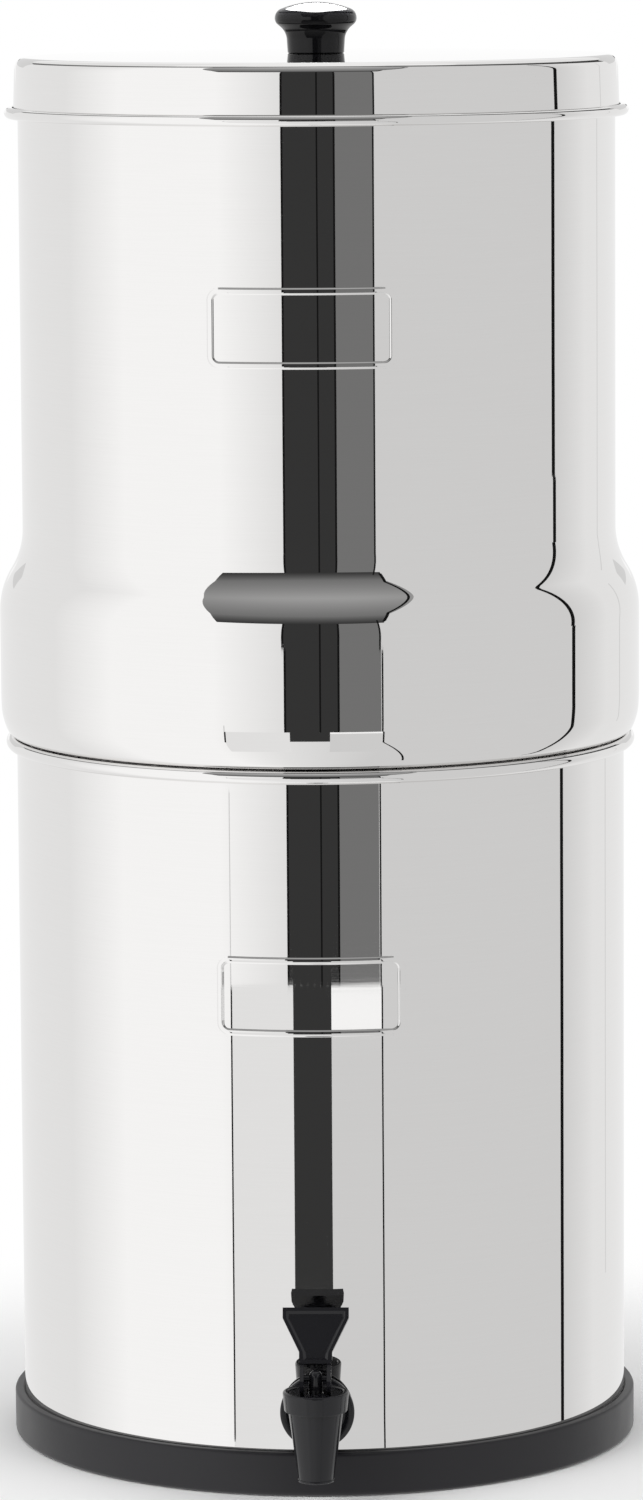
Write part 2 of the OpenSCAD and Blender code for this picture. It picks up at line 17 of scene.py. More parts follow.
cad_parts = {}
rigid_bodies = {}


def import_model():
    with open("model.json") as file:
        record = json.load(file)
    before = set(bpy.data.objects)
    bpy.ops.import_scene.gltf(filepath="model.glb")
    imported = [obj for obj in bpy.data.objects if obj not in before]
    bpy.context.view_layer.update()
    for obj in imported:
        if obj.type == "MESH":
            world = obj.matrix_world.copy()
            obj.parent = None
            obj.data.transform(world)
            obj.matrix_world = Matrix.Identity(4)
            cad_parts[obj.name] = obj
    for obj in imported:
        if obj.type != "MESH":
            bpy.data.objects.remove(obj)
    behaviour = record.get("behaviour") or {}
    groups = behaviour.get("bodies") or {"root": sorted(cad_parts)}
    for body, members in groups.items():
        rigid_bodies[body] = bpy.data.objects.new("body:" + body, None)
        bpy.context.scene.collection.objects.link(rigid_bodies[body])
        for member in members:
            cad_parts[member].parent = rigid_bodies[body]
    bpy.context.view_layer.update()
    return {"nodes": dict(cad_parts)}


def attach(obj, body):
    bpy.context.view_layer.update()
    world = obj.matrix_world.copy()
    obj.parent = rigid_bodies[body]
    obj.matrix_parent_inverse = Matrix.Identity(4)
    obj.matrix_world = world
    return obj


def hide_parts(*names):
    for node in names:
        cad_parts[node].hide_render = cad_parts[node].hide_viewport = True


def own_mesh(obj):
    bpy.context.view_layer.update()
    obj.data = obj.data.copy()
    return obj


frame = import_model()
nodes = frame["nodes"]
MM = 0.001

# %% [markdown]
# ## Section lines
#
# Almost every piece is drawn, turned or moulded round an axis, so it is a section line carried
# round that axis. Polished steel shows the smallest error in its normals, so a straight stretch
# gets a support point close to each end: the shading of a bend then stays in the bend.

# %% Section lines and turned pieces


def arc(centre, radius, start, end, count=9):
    """Points on a circle about the centre, evenly from the start to the end angle in degrees."""
    turn = np.radians(np.linspace(start, end, count))
    return np.column_stack((centre[0] + radius * np.cos(turn), centre[1] + radius * np.sin(turn)))


def straight(a, b, support=0.4, stops=()):
    """Points from a to b: the ends, a support point near each, and stops as shares of the way."""
    a, b = np.array(a, float), np.array(b, float)
    near = support / np.linalg.norm(b - a)
    share = np.array([0, near, *stops, 1 - near, 1])[:, None]
    return a + (b - a) * share


def section(*parts):
    """The parts joined into one line, without the points that two neighbours share."""
    line = np.vstack([np.atleast_2d(np.array(p, float)) for p in parts])
    keep = np.append(True, np.linalg.norm(np.diff(line, axis=0), axis=1) > 1e-6)
    return line[keep]


def make_mesh(name, points, faces, material, smooth_below=32):
    """A mesh object at the origin from points in mm, turned outwards if its faces point inwards."""
    mesh = bpy.data.meshes.new(name)
    mesh.from_pydata((np.asarray(points) * MM).tolist(), [], faces)
    mesh.validate()
    mesh.calc_loop_triangles()
    count = len(mesh.loop_triangles)
    corners = np.zeros(count * 3, int)
    mesh.loop_triangles.foreach_get("vertices", corners)
    a, b, c = (np.asarray(points)[corners.reshape(-1, 3)[:, i]] for i in range(3))
    if np.einsum("ij,ij->i", a, np.cross(b, c)).sum() < 0:
        mesh.flip_normals()
    mesh.shade_smooth()
    mesh.set_sharp_from_angle(angle=math.radians(smooth_below))
    mesh.materials.append(material)
    obj = bpy.data.objects.new(name, mesh)
    bpy.context.scene.collection.objects.link(obj)
    return obj


def turned(name, line, material, columns=360, place=None, smooth_below=32, thread=None):
    """Surface of revolution: a point (r, z) goes to (r cos u, r sin u, z), u all the way round.

    A line that starts and ends on the axis closes there in one vertex each; any other line is
    taken as a loop. place is a matrix in mm that carries the turned piece to its axis. thread is
    (crest radius, depth, pitch): points at the crest radius sink by the depth between the turns
    of a helix, and the sinking fades out over one pitch at both ends of the threaded stretch.
    """
    line = np.asarray(line, float)
    poles = line[0, 0] < 1e-6 and line[-1, 0] < 1e-6
    rings = line[1:-1] if poles else line
    u = np.linspace(0, 2 * np.pi, columns, endpoint=False)
    r, z = rings[:, :1], rings[:, 1:]
    if thread:
        crest, depth, pitch = thread
        on_thread = np.abs(r - crest) < 1e-6
        low, high = z[on_thread].min(), z[on_thread].max()
        runs_out = np.clip(np.minimum(z - low, high - z) / pitch, 0, 1)
        groove = np.clip(0.5 - 0.9 * np.cos(2 * np.pi * z / pitch - u), 0, 1)
        r = r - on_thread * depth * runs_out * groove
    points = np.stack((r * np.cos(u), r * np.sin(u), z + 0 * u), axis=2).reshape(-1, 3)
    rows = len(rings) - 1 if poles else len(rings)
    i, j = np.meshgrid(np.arange(rows), np.arange(columns), indexing="ij")
    below, above = i * columns, (i + 1) % len(rings) * columns
    after = (j + 1) % columns
    faces = np.stack((below + j, below + after, above + after, above + j), 2).reshape(-1, 4)
    faces = faces.tolist()
    if poles:
        first, last = len(points), len(points) + 1
        points = np.vstack((points, [[0, 0, line[0, 1]], [0, 0, line[-1, 1]]]))
        k = np.arange(columns)
        nxt, top = (k + 1) % columns, (len(rings) - 1) * columns
        faces += np.stack((np.full(columns, first), nxt, k), 1).tolist()
        faces += np.stack((np.full(columns, last), top + k, top + nxt), 1).tolist()
    if place is not None:
        points = np.c_[points, np.ones(len(points))] @ np.array(place).T[:, :3]
    return make_mesh(name, points, faces, material, smooth_below)


# %% [markdown]
# ## Finishes
#
# One small helper adds a node with its settings and links. Colours are written as sRGB and turned
# to linear by one function.

# %% Node helper and colours


def linear(code, alpha=1.0):
    """An sRGB hex colour as the linear colour that a shader takes."""
    s = np.array([int(code[i:i + 2], 16) / 255 for i in (1, 3, 5)])
    return (*np.where(s <= 0.04045, s / 12.92, ((s + 0.055) / 1.055) ** 2.4), alpha)


def new_material(name):
    """An empty node material; returns it, a function that adds a node to it, and its shader."""
    material = bpy.data.materials.new(name)
    material.use_nodes = True
    tree = material.node_tree
    tree.nodes.clear()

    def add(kind, values=None, links=None, **settings):
        node = tree.nodes.new("ShaderNode" + kind)
        for key, value in settings.items():
            setattr(node, key, value)
        for key, value in (values or {}).items():
            node.inputs[key].default_value = value
        for key, source in (links or {}).items():
            tree.links.new(source, node.inputs[key])
        return node

    shader = add("BsdfPrincipled")
    add("OutputMaterial", links={"Surface": shader.outputs["BSDF"]})
    return material, add, shader


def set_shader(shader, **values):
    """Sets the shader's own sockets; a name's underscores stand for spaces."""
    for key, value in values.items():
        shader.inputs[key.replace("_", " ")].default_value = value


# %% [markdown]
# ### Mirror-polished stainless steel
#
# The chambers and the lid are deep-drawn 304 sheet, ground and then buffed with compound on soft
# wheels until they mirror. What is left is a very faint waviness of the drawn sheet, centimetres
# long and hundredths of a millimetre deep, and hairlines of the buffing that run round the pot.

# %% Steel
steel, add, shader = new_material("steel_mirror_polished")
set_shader(shader, Metallic=1.0, Roughness=0.02)
place = add("TexCoord")
# Hairlines: 0.4 mm apart up the wall (1 / 0.0004 m = 2500), 25 mm long round it (1 / 0.025 = 40).
lines_at = add("Mapping", {"Scale": (40, 40, 2500)}, {"Vector": place.outputs["Object"]})
hairlines = add("TexNoise", {"Scale": 1.0, "Detail": 2.0}, {"Vector": lines_at.outputs["Vector"]})
shade = add("MapRange", {"From Min": 0.35, "From Max": 0.7, "To Min": 0.008, "To Max": 0.02},
            {"Value": hairlines.outputs["Fac"]})
tint = add("Mix", data_type="RGBA", links={"Factor": hairlines.outputs["Fac"]})
tint.inputs["A"].default_value = linear("#E9E8E7")
tint.inputs["B"].default_value = linear("#ECEBEA")
# Waviness of the drawn sheet: 55 mm round the wall (1 / 0.055 = 18), twice that up it, 0.03 mm.
waves_at = add("Mapping", {"Scale": (18, 18, 9)}, {"Vector": place.outputs["Object"]})
waves = add("TexNoise", {"Scale": 1.0, "Detail": 1.0}, {"Vector": waves_at.outputs["Vector"]})
wavy = add("Bump", {"Strength": 1.0, "Distance": 0.03 * MM}, {"Height": waves.outputs["Fac"]})
links = shader.id_data.links
links.new(tint.outputs["Result"], shader.inputs["Base Color"])
links.new(shade.outputs["Result"], shader.inputs["Roughness"])
links.new(wavy.outputs["Normal"], shader.inputs["Normal"])
print("steel: hairlines in the roughness, 0.03 mm of waviness in the relief")

# %% [markdown]
# ### Plastics, rubber, carbon and small metal parts
#
# Each is one colour with a slight cloud in it and a fine relief, at the size and depth that its
# making leaves:
#
# - rubber_epdm: the ring, extruded and joined; matt, 1.2 mm wide unevenness
# - abs_gloss_black: the tap, injection moulded in a polished mould; faint flow marks, 4 mm wide
# - phenolic_polished_black: the knob, pressed and then polished on a wheel; almost even
# - polypropylene_black: feet, plugs and nuts, moulded with a satin skin
# - pressed_carbon: the elements, carbon powder pressed and baked; half-millimetre grains
# - silicone_milky: washers and the seat cup, pressed; soft sheen
# - brass_turned and fastener_steel: turned parts, with tool marks 0.6 mm wide

# %% Plastics and rubber


def plain(name, code, roughness, grain_mm, depth_mm, spread=0.03):
    """A moulded or turned finish: one colour with a slight cloud and a fine grain in relief."""
    material, add, shader = new_material(name)
    place = add("TexCoord")
    cloud = add("TexNoise", {"Scale": 60.0, "Detail": 4.0}, {"Vector": place.outputs["Object"]})
    shade = add("MapRange", {"From Min": 0.3, "From Max": 0.7, "To Min": roughness - spread,
                             "To Max": roughness + spread}, {"Value": cloud.outputs["Fac"]})
    base = np.array(linear(code))
    tint = add("Mix", data_type="RGBA", links={"Factor": cloud.outputs["Fac"]})
    tint.inputs["A"].default_value = (*(base[:3] * 0.85), 1)
    tint.inputs["B"].default_value = (*(base[:3] * 1.15), 1)
    grain = add("TexNoise", {"Scale": 1 / (grain_mm * MM), "Detail": 2.0},
                {"Vector": place.outputs["Object"]})
    relief = add("Bump", {"Strength": 1.0, "Distance": depth_mm * MM},
                 {"Height": grain.outputs["Fac"]})
    links = shader.id_data.links
    links.new(tint.outputs["Result"], shader.inputs["Base Color"])
    links.new(shade.outputs["Result"], shader.inputs["Roughness"])
    links.new(relief.outputs["Normal"], shader.inputs["Normal"])
    return material, add, shader


rubber = plain("rubber_epdm", "#0D0B12", 0.42, 1.2, 0.02)[0]
abs_gloss, add, shader = plain("abs_gloss_black", "#161619", 0.12, 4.0, 0.004, 0.02)
set_shader(shader, Specular_IOR_Level=0.38)
phenolic, add, shader = plain("phenolic_polished_black", "#0B0B0D", 0.09, 5.0, 0.003, 0.02)
set_shader(shader, Specular_IOR_Level=0.3)
fitting = plain("polypropylene_black", "#1A1A1C", 0.38, 1.0, 0.01)[0]
carbon = plain("pressed_carbon", "#222224", 0.8, 0.5, 0.08)[0]
silicone = plain("silicone_milky", "#DAD8D0", 0.35, 1.5, 0.01)[0]
brass = plain("brass_turned", "#C9A44E", 0.25, 0.6, 0.004)[0]
fastener = plain("fastener_steel", "#B9BABC", 0.22, 0.6, 0.003)[0]
for metal in (brass, fastener):
    metal.node_tree.nodes["Principled BSDF"].inputs["Metallic"].default_value = 1.0
print(len(bpy.data.materials), "materials so far")

# %% [markdown]
# ## Chambers
#
# Both chambers are sheet, 1 mm thick, drawn deep. A section runs from the middle of the floor up
# the outside to the rim, and back down along the inside. The lower chamber's rim is curled outwards
# into a round bead, and the tap's hole is cut through its wall.

# %% Lower chamber
LOWER_R, LOWER_CORNER, SHEET, PAD = 120.5, 6.0, 1.0, 4.0
RIM_Z, BEAD_R, CURL_END = 281.26, 2.6, 115      # the curl goes on to 115 degrees below the level
BEAD_C = LOWER_R - SHEET + BEAD_R
TAP_Z, TAP_Y, TAP_HOLE_R = 33.2, -145.5, 8.2


def lower_line(depth):
    """The lower chamber's sheet at a depth under its outside, from the axis to the curled rim."""
    wall, bend = LOWER_R - depth, BEAD_R - SHEET + depth
    corner_c, corner_z = LOWER_R - LOWER_CORNER, PAD + LOWER_CORNER
    return section(
        straight((0, PAD + depth), (corner_c, PAD + depth)),
        arc((corner_c, corner_z), LOWER_CORNER - depth, -90, 0),
        straight((wall, corner_z), (wall, RIM_Z - BEAD_R), stops=(0.05, 0.125, 0.4, 0.7)),
        arc((BEAD_C, RIM_Z - BEAD_R), bend, 180, -CURL_END, 33))


def cut_holes(obj, cutters):
    """Cuts the cutters out of the piece and removes them."""
    for cutter in cutters:
        cut = obj.modifiers.new("hole", "BOOLEAN")
        cut.object, cut.operation, cut.solver = cutter, "DIFFERENCE", "EXACT"
    depsgraph = bpy.context.evaluated_depsgraph_get()
    mesh = bpy.data.meshes.new_from_object(obj.evaluated_get(depsgraph))
    obj.modifiers.clear()
    obj.data = mesh
    for cutter in cutters:
        bpy.data.objects.remove(cutter)
    mesh.shade_smooth()
    mesh.set_sharp_from_angle(angle=math.radians(32))


def along_shank(y, x=0.0):
    """Matrix in mm that lays a turned piece along the tap's shank, its foot at y, pointing out."""
    return Matrix.Translation((x, y, TAP_Z)) @ Matrix.Rotation(math.pi / 2, 4, "X")


def pin(name, radius, low, high, place):
    """A plain closed cylinder, used as a cutter."""
    return turned(name, [(0, low), (radius, low), (radius, high), (0, high)], steel, 64, place)


lower = turned("lower_chamber_steel",
               section(lower_line(0), lower_line(SHEET)[::-1]), steel, 480)
cut_holes(lower, [pin("cutter", TAP_HOLE_R, 100, 140, along_shank(0))])
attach(lower, "lower")
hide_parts("lower_chamber")
print("lower chamber:", len(lower.data.vertices), "points, rim at", RIM_Z, "mm")

# %% [markdown]
# ### Upper chamber
#
# The upper chamber stands on the bead with the corner of its bulge, 0.3 mm clear of it, and its
# neck drops inside the rim. The foot of the bulge turns in slowly at first, then faster, then round
# the corner, each bend running into the next; the corner's height follows from the circle that
# rests on the bead. The shoulder above the bulge is an S of two equal bends. The rim is folded into
# a hem, and the floor has four holes.

# %% Upper chamber
UPPER_R, NECK_R, NECK_CORNER, NECK_H, FILLET = 117.3, 118.9, 5.0, 12.0, 0.6
BULGE_R, BULGE_CORNER, BULGE_H, REST_GAP = 126.6, 4.2, 49.5, 0.3
SLOW_R, SLOW_TURN, FOOT_R, FOOT_TURN = 150.0, 2.7, 23.0, 25.5
SHOULDER_R, UPPER_H, HEM_H = 30.5, 264.0, 6.0
FLOOR_HOLE_R, FLOOR_HOLE_AT = 5.4, 55.0
slow, turned_in = math.radians(SLOW_TURN), math.radians(FOOT_TURN)
foot_c = BULGE_R - SLOW_R + (SLOW_R - FOOT_R) * math.cos(slow)
corner_c = foot_c + (FOOT_R - BULGE_CORNER) * math.cos(turned_in)
corner_z = RIM_Z - BEAD_R + math.sqrt((BULGE_CORNER + BEAD_R + REST_GAP) ** 2
                                      - (BEAD_C - corner_c) ** 2)
LEDGE_Z = corner_z - BULGE_CORNER
foot_z = corner_z + (FOOT_R - BULGE_CORNER) * math.sin(turned_in)
SLOW_Z = foot_z + (SLOW_R - FOOT_R) * math.sin(slow)
UPPER_RIM = LEDGE_Z + UPPER_H
SHOULDER_Z = LEDGE_Z + BULGE_H
shoulder_turn = math.degrees(math.acos(1 - (BULGE_R - UPPER_R) / 2 / SHOULDER_R))
shoulder_h = 2 * SHOULDER_R * math.sin(math.radians(shoulder_turn))


def upper_line(depth, top, fine=2):
    """The upper chamber's sheet at a depth under its outside, from the axis up to its rim.

    fine is how closely the bends are divided: 2 outside, 1 inside, where it is dark.
    """
    floor = LEDGE_Z - NECK_H
    return section(
        straight((0, floor + depth), (NECK_R - NECK_CORNER, floor + depth)),
        arc((NECK_R - NECK_CORNER, floor + NECK_CORNER), NECK_CORNER - depth, -90, 0,
            4 * fine + 1),
        straight((NECK_R - depth, floor + NECK_CORNER), (NECK_R - depth, LEDGE_Z - FILLET), 0.2),
        arc((NECK_R + FILLET, LEDGE_Z - FILLET), FILLET + depth, 180, 90, 2 * fine + 1),
        arc((corner_c, corner_z), BULGE_CORNER - depth, -90, -FOOT_TURN, 6 * fine + 1),
        arc((foot_c, foot_z), FOOT_R - depth, -FOOT_TURN, -SLOW_TURN, 8 * fine + 1),
        arc((BULGE_R - SLOW_R, SLOW_Z), SLOW_R - depth, -SLOW_TURN, 0, 4 * fine + 1),
        straight((BULGE_R - depth, SLOW_Z), (BULGE_R - depth, SHOULDER_Z)),
        arc((BULGE_R - SHOULDER_R, SHOULDER_Z), SHOULDER_R - depth, 0, shoulder_turn,
            12 * fine + 1),
        arc((UPPER_R + SHOULDER_R, SHOULDER_Z + shoulder_h), SHOULDER_R + depth,
            180 + shoulder_turn, 180, 12 * fine + 1),
        straight((UPPER_R - depth, SHOULDER_Z + shoulder_h), (UPPER_R - depth, top)))


hem = arc((UPPER_R - SHEET, UPPER_RIM - SHEET), SHEET, 0, 180, 13)
upper = turned("upper_chamber_steel", section(
    upper_line(0, UPPER_RIM - SHEET), hem,
    [(UPPER_R - 2 * SHEET, UPPER_RIM - HEM_H + 0.4),
     (UPPER_R - 2 * SHEET + 0.3, UPPER_RIM - HEM_H), (UPPER_R - SHEET, UPPER_RIM - HEM_H)],
    upper_line(SHEET, UPPER_RIM - HEM_H - 0.2, 1)[::-1]), steel, 480)
cut_holes(upper, [pin(f"cutter_{k}", FLOOR_HOLE_R, LEDGE_Z - NECK_H - 1, LEDGE_Z - NECK_H + 2,
                      Matrix.Rotation(math.radians(90 * k), 4, "Z")
                      @ Matrix.Translation((FLOOR_HOLE_AT, 0, 0))) for k in range(4)])
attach(upper, "upper")
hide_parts("upper_chamber")
print("upper chamber: ledge at", round(LEDGE_Z, 2), "mm, rim at", round(UPPER_RIM, 2), "mm")

# %% [markdown]
# ### Lid
#
# A shallow drawn cap of thinner sheet. Its top is very slightly domed, its skirt widens a little
# towards the foot, and its edge is rolled outwards round more than three quarters of a turn.

# %% Lid
LID_T, LID_CORNER, LID_H, LID_GAP, SKIRT_FLARE = 0.8, 5.0, 22.3, 0.3, 0.6
ROLL_R, ROLL_END = 2.2, 475
LID_R = UPPER_R + LID_GAP + LID_T
lid_c = LID_R - LID_CORNER
LID_TOP = UPPER_RIM + LID_GAP + LID_CORNER - math.sqrt((LID_CORNER - LID_T) ** 2
                                                       - (UPPER_R - lid_c) ** 2)
ROLL_Z = LID_TOP - LID_H
ROLL_C = LID_R + SKIRT_FLARE - LID_T + ROLL_R
LID_DOME, LID_EDGE, LID_HOLE_R = 0.8, 4.2, 2.6  # fall of the domed top, corner, screw's hole


def lid_line(depth):
    """The lid's sheet at a depth under its outside, from the axis to the end of its rolled edge."""
    edge_c = LID_R - LID_EDGE
    flat_to = 14.0      # the knob stands on a level spot
    r = np.array([LID_HOLE_R, 8, flat_to, 20, 30, 40, 50, 60, 70, 80, 90, 100, 108, edge_c - 1,
                  edge_c])
    dome = LID_DOME * np.clip((r - flat_to) / (edge_c - flat_to), 0, 1) ** 2
    return section(
        np.column_stack((r, LID_TOP - dome - depth)),
        arc((edge_c, LID_TOP - LID_CORNER), LID_EDGE - depth, 89, 0, 15),
        straight((LID_R - depth, LID_TOP - LID_CORNER), (LID_R + SKIRT_FLARE - depth, ROLL_Z)),
        arc((ROLL_C, ROLL_Z), ROLL_R - LID_T + depth, 180, ROLL_END, 33))


lid = turned("lid_steel", section(lid_line(0), lid_line(LID_T)[::-1]), steel, 480)
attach(lid, "lid")
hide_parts("lid")
print("lid: top at", round(LID_TOP, 2), "mm, rolled edge at", round(ROLL_Z, 2), "mm")

# %% [markdown]
# ### Embossed frames
#
# Each chamber carries a plain rounded rectangle, pressed out from behind as one low line with a
# level top. Its flanks rise along half a cosine wave, so that it runs into the wall without an
# edge. The field inside the frame is left smooth.

# %% Embossed frames


def ridge(name, wall_r, middle, turn, body):
    """A rounded line round a rounded rectangle, wrapped on a wall about Z.

    A point of the line's centre is (x, z) on the flat rectangle; it lies on the wall at the angle
    whose sine is x / wall_r. Across the line the surface rises along half a cosine wave over each
    flank and is level between the flanks.
    """
    width, flank, rise, sunk = 3.0, 0.9, 0.4, 0.3
    half_w, half_h, corner = 36.1 - width / 2, 15.5 - width / 2, 5 - width / 2
    sides = []
    for k, (cx, cz) in enumerate(((1, 1), (-1, 1), (-1, -1), (1, -1))):
        centre = np.array([cx * (half_w - corner), cz * (half_h - corner)])
        turned_by = np.radians(np.linspace(90 * k, 90 * k + 90, 25))
        normal = np.column_stack((np.cos(turned_by), np.sin(turned_by)))
        sides.append((centre + corner * normal, normal))
        nxt = sides[-1][0][-1]
        length = 2 * (half_w - corner) if k % 2 == 0 else 2 * (half_h - corner)
        step = np.linspace(0, length, max(3, int(length / 1.5)))[1:-1, None]
        along = np.array([-normal[-1][1], normal[-1][0]])
        sides.append((nxt + along * step, np.repeat(normal[-1:], len(step), 0)))
    centre = np.vstack([p for p, _ in sides])
    normal = np.vstack([n for _, n in sides])
    up = np.linspace(0, 1, 11)
    t = np.r_[up * flank - width / 2, (width / 2 - up * flank)[::-1]]
    rise_at = rise * (0.5 - 0.5 * np.cos(np.pi * np.r_[up, up[::-1]])) - 0.01
    t = np.r_[t, width / 2, -width / 2]
    rise_at = np.r_[rise_at, -sunk, -sunk]
    flat_points = centre[:, None, :] + normal[:, None, :] * t[None, :, None]
    angle = np.arcsin(flat_points[..., 0] / wall_r) - math.radians(90 + turn)
    r = wall_r + rise_at[None, :] + 0 * angle
    points = np.stack((r * np.cos(angle), r * np.sin(angle), middle + flat_points[..., 1]), 2)
    n, m = angle.shape
    i, j = np.meshgrid(np.arange(n), np.arange(m), indexing="ij")
    i2, j2 = (i + 1) % n, (j + 1) % m
    faces = np.stack((i * m + j, i2 * m + j, i2 * m + j2, i * m + j2), 2).reshape(-1, 4)
    obj = make_mesh(name, points.reshape(-1, 3), faces.tolist(), steel, 40)
    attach(obj, body)
    return obj


FRAMES = {"lower": (LOWER_R, 194, 0.75), "upper": (UPPER_R, 448.7, 1.75)}
for body, (wall_r, middle, turn) in FRAMES.items():
    ridge(f"{body}_frame_ridge", wall_r, middle, turn, body)
print("frames:", FRAMES)

# %% [markdown]
# ## Knob and base ring
#
# The knob is a mushroom: its waist leans out along a hollow bend, turns in under the head, goes
# round the head's edge and over the dome. Each bend ends at the slope where the next one starts.
# A blind hole in its foot holds the brass insert.

# %% Knob
KNOB_H, KNOB_R, KNOB_FOOT, INSERT_R, INSERT_TOP = 20.0, 16.1, 11.1, 4.25, 10.4
KNOB_DOME, KNOB_EDGE, KNOB_UNDER, KNOB_WAIST, KNOB_SLOPE = 37.0, 4.0, 3.2, 7.0, 50
edge_c = KNOB_R - KNOB_EDGE
edge_z = KNOB_H - KNOB_DOME + math.sqrt((KNOB_DOME - KNOB_EDGE) ** 2 - edge_c ** 2)
dome_from = 90 - math.degrees(math.asin(edge_c / (KNOB_DOME - KNOB_EDGE)))
knob_line = section(
    [(0, INSERT_TOP), (INSERT_R, INSERT_TOP), (INSERT_R, 0), (KNOB_FOOT - 0.4, 0),
     (KNOB_FOOT, 0.4)],
    arc((KNOB_FOOT + 0.3 + KNOB_WAIST, 5), KNOB_WAIST, 180, 180 - KNOB_SLOPE, 11),
    arc((KNOB_R - KNOB_UNDER, edge_z), KNOB_UNDER, -KNOB_SLOPE, 0, 9),
    arc((edge_c, edge_z), KNOB_EDGE, 0, dome_from, 13),
    arc((0, KNOB_H - KNOB_DOME), KNOB_DOME, dome_from, 90, 13))
knob = turned("knob", knob_line + (0, LID_TOP), phenolic, 128)
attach(knob, "lid")
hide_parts("lid_knob")
print("knob:", 2 * KNOB_R, "mm wide, top at", round(LID_TOP + KNOB_H, 1), "mm")

# %% [markdown]
# The ring grips the lower chamber's corner and wall and stands on the table.

# %% Base ring
RING_H, RING_R, RING_W, RING_FOOT, RING_LIP = 17.0, LOWER_R + 3.9, 18.0, 1.6, 1.2
ring_line = section(
    straight((RING_R - RING_W, 0), (RING_R - RING_FOOT, 0)),
    arc((RING_R - RING_FOOT, RING_FOOT), RING_FOOT, -90, 0, 7),
    straight((RING_R, RING_FOOT), (RING_R, RING_H - RING_LIP)),
    arc((RING_R - RING_LIP, RING_H - RING_LIP), RING_LIP, 0, 90, 7),
    [(LOWER_R + 0.8, RING_H), (LOWER_R + 0.05, RING_H - 0.6)],
    arc((LOWER_R - LOWER_CORNER, PAD + LOWER_CORNER), LOWER_CORNER + 0.05, 0, -80, 9),
    [(LOWER_R - LOWER_CORNER, PAD), (RING_R - RING_W, PAD)])
ring = turned("base_ring_rubber", ring_line, rubber, 360)
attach(ring, "lower")
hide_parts("base_ring")
print("ring:", RING_H, "mm high,", 2 * RING_R, "mm across")

# %% [markdown]
# ## Tap
#
# The tap is a set of small glossy mouldings. The spout and valve chamber are one turned shape,
# the flange with its neck and threaded shank another, laid along the shank; together they are
# one moulding, so they overlap inside each other.

# %% Tap body
OUTLET_Z, BONNET_Z, BONNET_TOP, BONNET_R, THREAD_R = 11.8, 39.1, 46.7, 12.6, 10.9
BORE_R, VALVE_R, SHANK_BORE_R = 5.0, 8.6, 4.5       # the water's way
CAP_PLANE, CUP_FLANGE = 43.6, 1.4       # where the bonnet clamps the seat cup, by its flange
at_tap = Matrix.Translation((0, TAP_Y, 0))
spout = section(
    [(BORE_R, OUTLET_Z + 0.3), (BORE_R + 0.3, OUTLET_Z)],
    arc((6.85, OUTLET_Z + 0.35), 0.35, -90, 0, 5),
    arc((6.85, OUTLET_Z + 0.65), 0.35, 0, 80, 5),
    straight((6.95, OUTLET_Z + 1.35), (THREAD_R - 0.4, BONNET_Z - 0.3), 0.3, (0.3, 0.6)),
    [(THREAD_R, BONNET_Z - 0.3), (THREAD_R, CAP_PLANE - CUP_FLANGE),
     (VALVE_R, CAP_PLANE - CUP_FLANGE), (VALVE_R, 25.9), (BORE_R, 22.3)])
barrel = turned("tap_spout", spout, abs_gloss, 144, at_tap)
SHANK_END, SHANK_R, FLANGE = 106.9, 7.9, 122.3
shank_thread = np.column_stack((np.full(105, SHANK_R), np.linspace(107.6, 121.0, 105)))
flange = section(
    [(SHANK_BORE_R, SHANK_END), (7.1, SHANK_END), (7.35, SHANK_END + 0.2)], shank_thread,
    [(7.85, 121.2), (7.85, FLANGE), (14.0, FLANGE), (14.3, FLANGE + 0.3)],
    arc((13.5, FLANGE + 1.8), 0.8, 0, 90, 7),
    arc((12.0, FLANGE + 2.3), 0.3, 90, 150, 4),
    arc((10.9, FLANGE + 2.3), 0.3, -30, -90, 4),
    straight((10.6, FLANGE + 2.0), (6.4, FLANGE + 2.0), 0.2),
    arc((6.4, FLANGE + 2.8), 0.8, -90, -180, 6),
    [(5.6, FLANGE + 4), (5.6, -TAP_Y - 6), (SHANK_BORE_R, -TAP_Y - 6)])
flange = turned("tap_flange_and_shank", flange, abs_gloss, 144, along_shank(0),
                thread=(SHANK_R, 0.7, 1.5))
for piece in (barrel, flange):
    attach(piece, "lower")
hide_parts("tap_body")
print("tap body: outlet at", OUTLET_Z, "mm, shank", 2 * SHANK_R, "mm over the thread")

# %% [markdown]
# The bonnet screws onto the valve chamber. The lever's feet roll on its sunk top.

# %% Bonnet
BONNET_FLOOR, STEM_BORE_R = BONNET_TOP - 0.7, 2.67
bonnet = turned("tap_bonnet_cap", section(
    [(THREAD_R + 0.05, BONNET_Z), (11.7, BONNET_Z)],
    arc((11.7, BONNET_Z + 0.3), 0.3, -90, -5, 4),
    straight((12.02, BONNET_Z + 0.5), (BONNET_R, BONNET_TOP - 0.9), 0.25, (0.5,)),
    arc((BONNET_R - 0.8, BONNET_TOP - 0.8), 0.8, 0, 90, 9),
    arc((11.2, BONNET_TOP - 0.25), 0.25, 90, 160, 4),
    [(10.45, BONNET_FLOOR + 0.08), (10.2, BONNET_FLOOR), (10.0, BONNET_FLOOR),
     (STEM_BORE_R + 0.3, BONNET_FLOOR), (STEM_BORE_R, BONNET_FLOOR - 0.3),
     (STEM_BORE_R, CAP_PLANE), (THREAD_R + 0.05, CAP_PLANE)]), abs_gloss, 144, at_tap)
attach(bonnet, "lower")
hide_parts("tap_bonnet")
print("bonnet: top at", BONNET_TOP, "mm")

# %% [markdown]
# ### Lever and nuts
#
# These keep the CAD shape, with the edges rounded as a mould leaves them. The lever's paddle has a
# sunk face in front, and the walls of it slope, so that it leaves the mould: a cutter with sloping
# sides, leaning as the lever does, opens the straight pocket of the CAD shape.

# %% Pieces that keep the CAD shape with rounded edges


